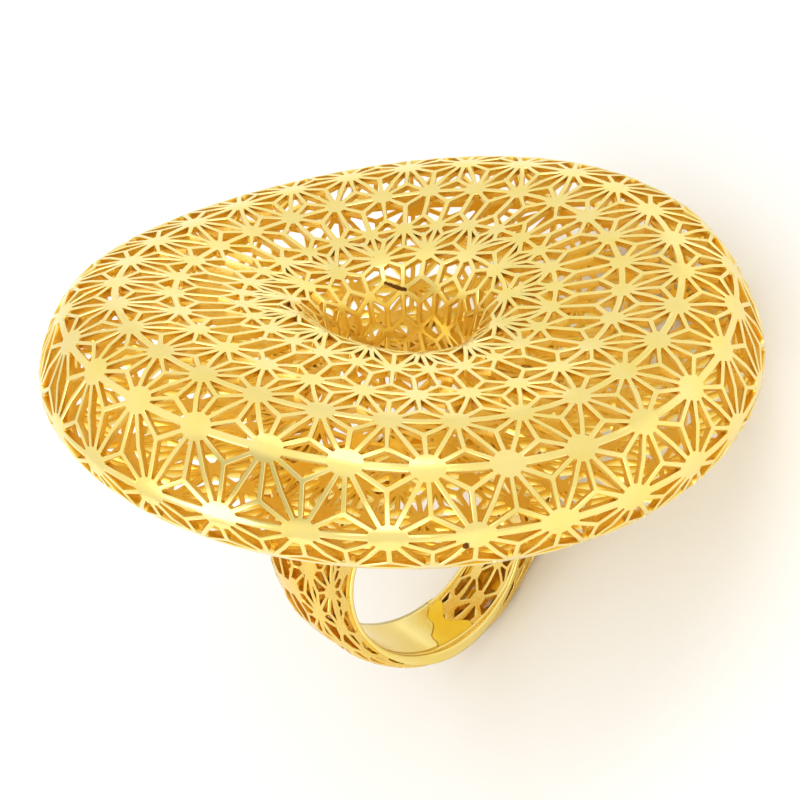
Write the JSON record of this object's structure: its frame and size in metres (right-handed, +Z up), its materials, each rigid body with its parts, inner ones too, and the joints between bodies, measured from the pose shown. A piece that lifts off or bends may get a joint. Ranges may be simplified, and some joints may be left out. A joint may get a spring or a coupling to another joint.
{
  "type": "fashion ring",
  "caption": "Large openwork fashion ring, a hollow doughnut pierced with a six-pointed star lattice on a pierced shank for one finger, lying on its side.",
  "frame": {"origin": "middle of the bounding box's bottom, on the floor that the ring lies on", "axes": "+Z up from the floor, +Y along the finger hole, +X from the shank towards the rim on the floor"},
  "size_m": [0.048, 0.061, 0.0483],
  "materials": {
    "gold_plate": "satin yellow gold plate"
  },
  "bodies": {
    "root": {"ring_body": "gold_plate"}
  },
  "joints": []
}
